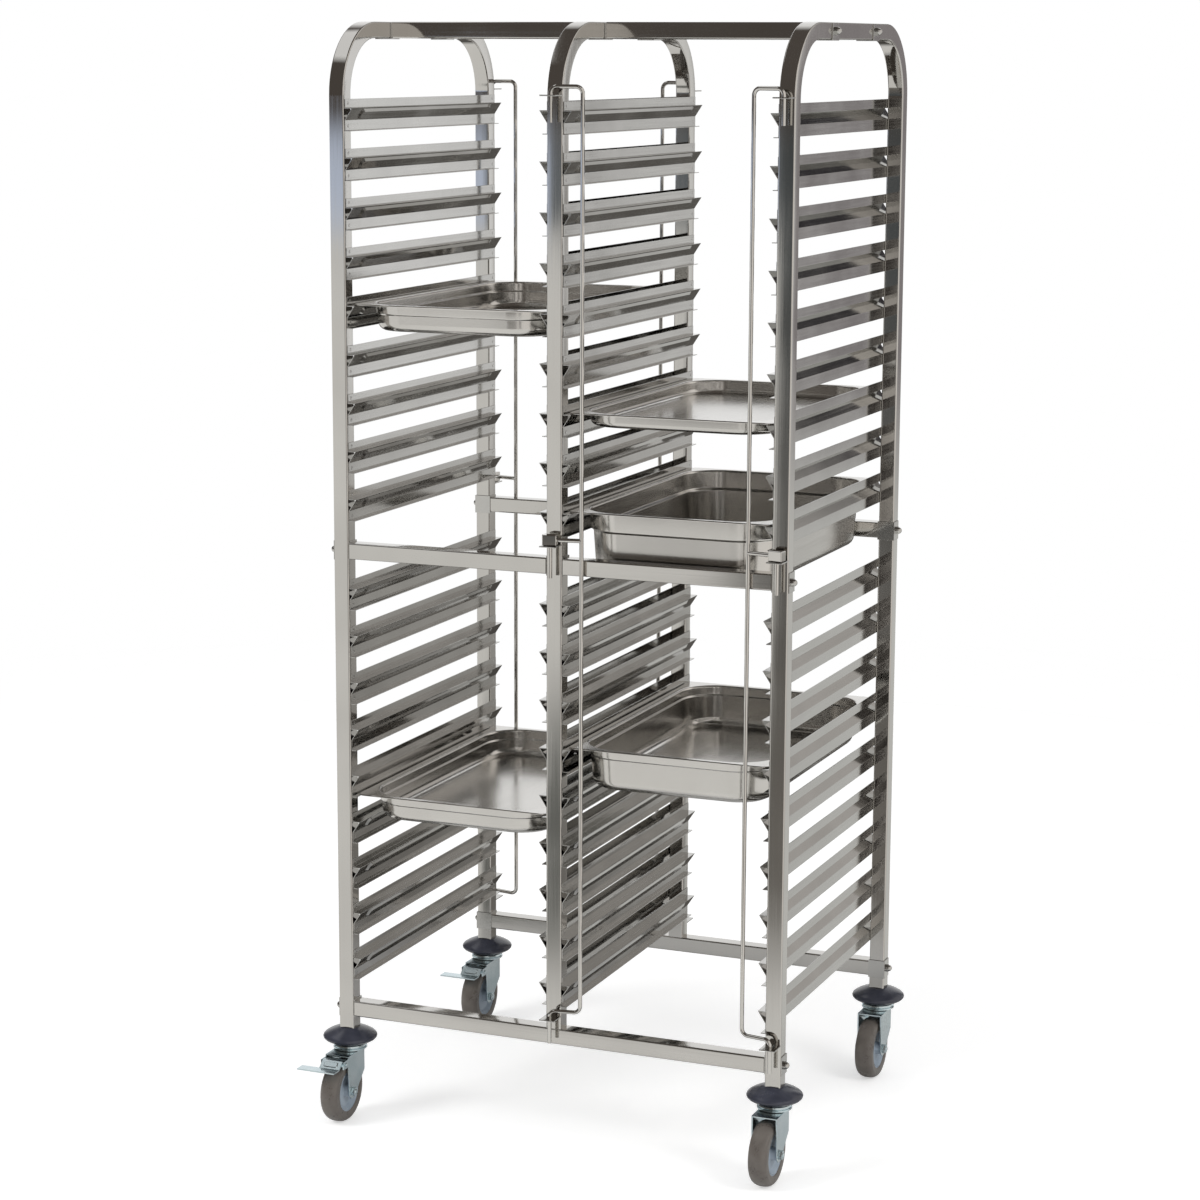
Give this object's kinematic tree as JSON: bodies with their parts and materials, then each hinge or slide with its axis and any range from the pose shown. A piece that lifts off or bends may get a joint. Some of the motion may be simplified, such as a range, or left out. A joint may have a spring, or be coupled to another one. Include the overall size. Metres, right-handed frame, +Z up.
{
  "type": "tray trolley",
  "caption": "Double-bay stainless steel pan racking trolley on swivel castors, with angled runners, rod swing gates, brake pedals and gastronorm pans.",
  "frame": {"origin": "on the floor, midway between the four castor posts", "axes": "+X to the right along the width, +Y from the front to the rear along the depth, +Z up"},
  "size_m": [0.8055, 0.6625, 1.7186],
  "materials": {
    "stainless": "polished",
    "pan_steel": "satin",
    "zinc": "bright zinc plate",
    "tyre": "matte grey",
    "hub": "satin",
    "bumper": "semi-gloss"
  },
  "bodies": {
    "frame": {"castor_bumpers": "bumper", "castor_stems": "zinc", "gate_tabs": "stainless", "left_hoop": "stainless", "low_bar_front": "stainless", "low_bar_rear": "stainless", "low_saddles": "stainless", "mid_bar_front_left": "stainless", "mid_bar_front_right": "stainless", "mid_bar_rear_left": "stainless", "mid_bar_rear_right": "stainless", "mid_saddles": "stainless", "middle_hoop": "stainless", "right_hoop": "stainless", "runners_left": "stainless", "runners_middle_left": "stainless", "runners_middle_right": "stainless", "runners_right": "stainless", "top_bar_front_left": "stainless", "top_bar_front_right": "stainless", "top_bar_rear_left": "stainless", "top_bar_rear_right": "stainless", "top_saddles": "stainless"},
    "gate_front_middle": {"gate_front_middle": "stainless"},
    "gate_front_right": {"gate_front_right": "stainless"},
    "gate_rear_left": {"gate_rear_left": "stainless"},
    "gate_rear_middle": {"gate_rear_middle": "stainless"},
    "swivel_front_left": {"fork_front_left": "zinc", "axle_front_left": "zinc", "pedal_pin_front_left": "zinc"},
    "wheel_front_left": {"hub_front_left": "hub", "tyre_front_left": "tyre"},
    "pedal_front_left": {"brake_pedal_front_left": "zinc"},
    "swivel_front_right": {"fork_front_right": "zinc", "axle_front_right": "zinc"},
    "wheel_front_right": {"hub_front_right": "hub", "tyre_front_right": "tyre"},
    "swivel_rear_left": {"fork_rear_left": "zinc", "axle_rear_left": "zinc", "pedal_pin_rear_left": "zinc"},
    "wheel_rear_left": {"hub_rear_left": "hub", "tyre_rear_left": "tyre"},
    "pedal_rear_left": {"brake_pedal_rear_left": "zinc"},
    "swivel_rear_right": {"fork_rear_right": "zinc", "axle_rear_right": "zinc"},
    "wheel_rear_right": {"hub_rear_right": "hub", "tyre_rear_right": "tyre"},
    "pan_left_upper": {"pan_left_upper": "pan_steel"},
    "pan_left_lower": {"pan_left_lower": "pan_steel"},
    "pan_right_upper": {"pan_right_upper": "pan_steel"},
    "pan_right_lower": {"pan_right_lower": "pan_steel"},
    "pan_right_stacking": {"pan_right_stacking": "pan_steel"}
  },
  "joints": [
    {"name": "gate_front_middle_hinge", "type": "hinge", "parent": "frame", "child": "gate_front_middle", "pos_m": [0, -0.291, 0.9], "axis": [0, 0, 1], "range_deg": [-190, 0]},
    {"name": "gate_front_right_hinge", "type": "hinge", "parent": "frame", "child": "gate_front_right", "pos_m": [0.3575, -0.291, 0.9], "axis": [0, 0, 1], "range_deg": [0, 190]},
    {"name": "gate_rear_left_hinge", "type": "hinge", "parent": "frame", "child": "gate_rear_left", "pos_m": [-0.3575, 0.291, 0.9], "axis": [0, 0, 1], "range_deg": [0, 190]},
    {"name": "gate_rear_middle_hinge", "type": "hinge", "parent": "frame", "child": "gate_rear_middle", "pos_m": [0, 0.291, 0.9], "axis": [0, 0, 1], "range_deg": [-190, 0]},
    {"name": "swivel_front_left_turn", "type": "hinge", "parent": "frame", "child": "swivel_front_left", "pos_m": [-0.3575, -0.2635, 0.1105], "axis": [0, 0, 1], "continuous": true},
    {"name": "wheel_front_left_spin", "type": "hinge", "parent": "swivel_front_left", "child": "wheel_front_left", "pos_m": [-0.3575, -0.2965, 0.05], "axis": [1, 0, 0], "continuous": true},
    {"name": "pedal_front_left_press", "type": "hinge", "parent": "swivel_front_left", "child": "pedal_front_left", "pos_m": [-0.3575, -0.3185, 0.1005], "axis": [1, 0, 0], "range_deg": [0, 8]},
    {"name": "swivel_front_right_turn", "type": "hinge", "parent": "frame", "child": "swivel_front_right", "pos_m": [0.3575, -0.2635, 0.1105], "axis": [0, 0, 1], "continuous": true},
    {"name": "wheel_front_right_spin", "type": "hinge", "parent": "swivel_front_right", "child": "wheel_front_right", "pos_m": [0.3575, -0.2965, 0.05], "axis": [1, 0, 0], "continuous": true},
    {"name": "swivel_rear_left_turn", "type": "hinge", "parent": "frame", "child": "swivel_rear_left", "pos_m": [-0.3575, 0.2635, 0.1105], "axis": [0, 0, 1], "continuous": true},
    {"name": "wheel_rear_left_spin", "type": "hinge", "parent": "swivel_rear_left", "child": "wheel_rear_left", "pos_m": [-0.3575, 0.2305, 0.05], "axis": [1, 0, 0], "continuous": true},
    {"name": "pedal_rear_left_press", "type": "hinge", "parent": "swivel_rear_left", "child": "pedal_rear_left", "pos_m": [-0.3575, 0.2085, 0.1005], "axis": [1, 0, 0], "range_deg": [0, 8]},
    {"name": "swivel_rear_right_turn", "type": "hinge", "parent": "frame", "child": "swivel_rear_right", "pos_m": [0.3575, 0.2635, 0.1105], "axis": [0, 0, 1], "continuous": true},
    {"name": "wheel_rear_right_spin", "type": "hinge", "parent": "swivel_rear_right", "child": "wheel_rear_right", "pos_m": [0.3575, 0.2305, 0.05], "axis": [1, 0, 0], "continuous": true},
    {"name": "pan_left_upper_slide", "type": "slide", "parent": "frame", "child": "pan_left_upper", "axis": [0, -1, 0], "range_m": [0, 0.5]},
    {"name": "pan_left_lower_slide", "type": "slide", "parent": "frame", "child": "pan_left_lower", "axis": [0, -1, 0], "range_m": [0, 0.5]},
    {"name": "pan_right_upper_slide", "type": "slide", "parent": "frame", "child": "pan_right_upper", "axis": [0, 1, 0], "range_m": [0, 0.5]},
    {"name": "pan_right_lower_slide", "type": "slide", "parent": "frame", "child": "pan_right_lower", "axis": [0, 1, 0], "range_m": [0, 0.5]},
    {"name": "pan_right_stacking_lift", "type": "slide", "parent": "frame", "child": "pan_right_stacking", "axis": [0, 0, 1], "range_m": [0, 0.036]}
  ]
}
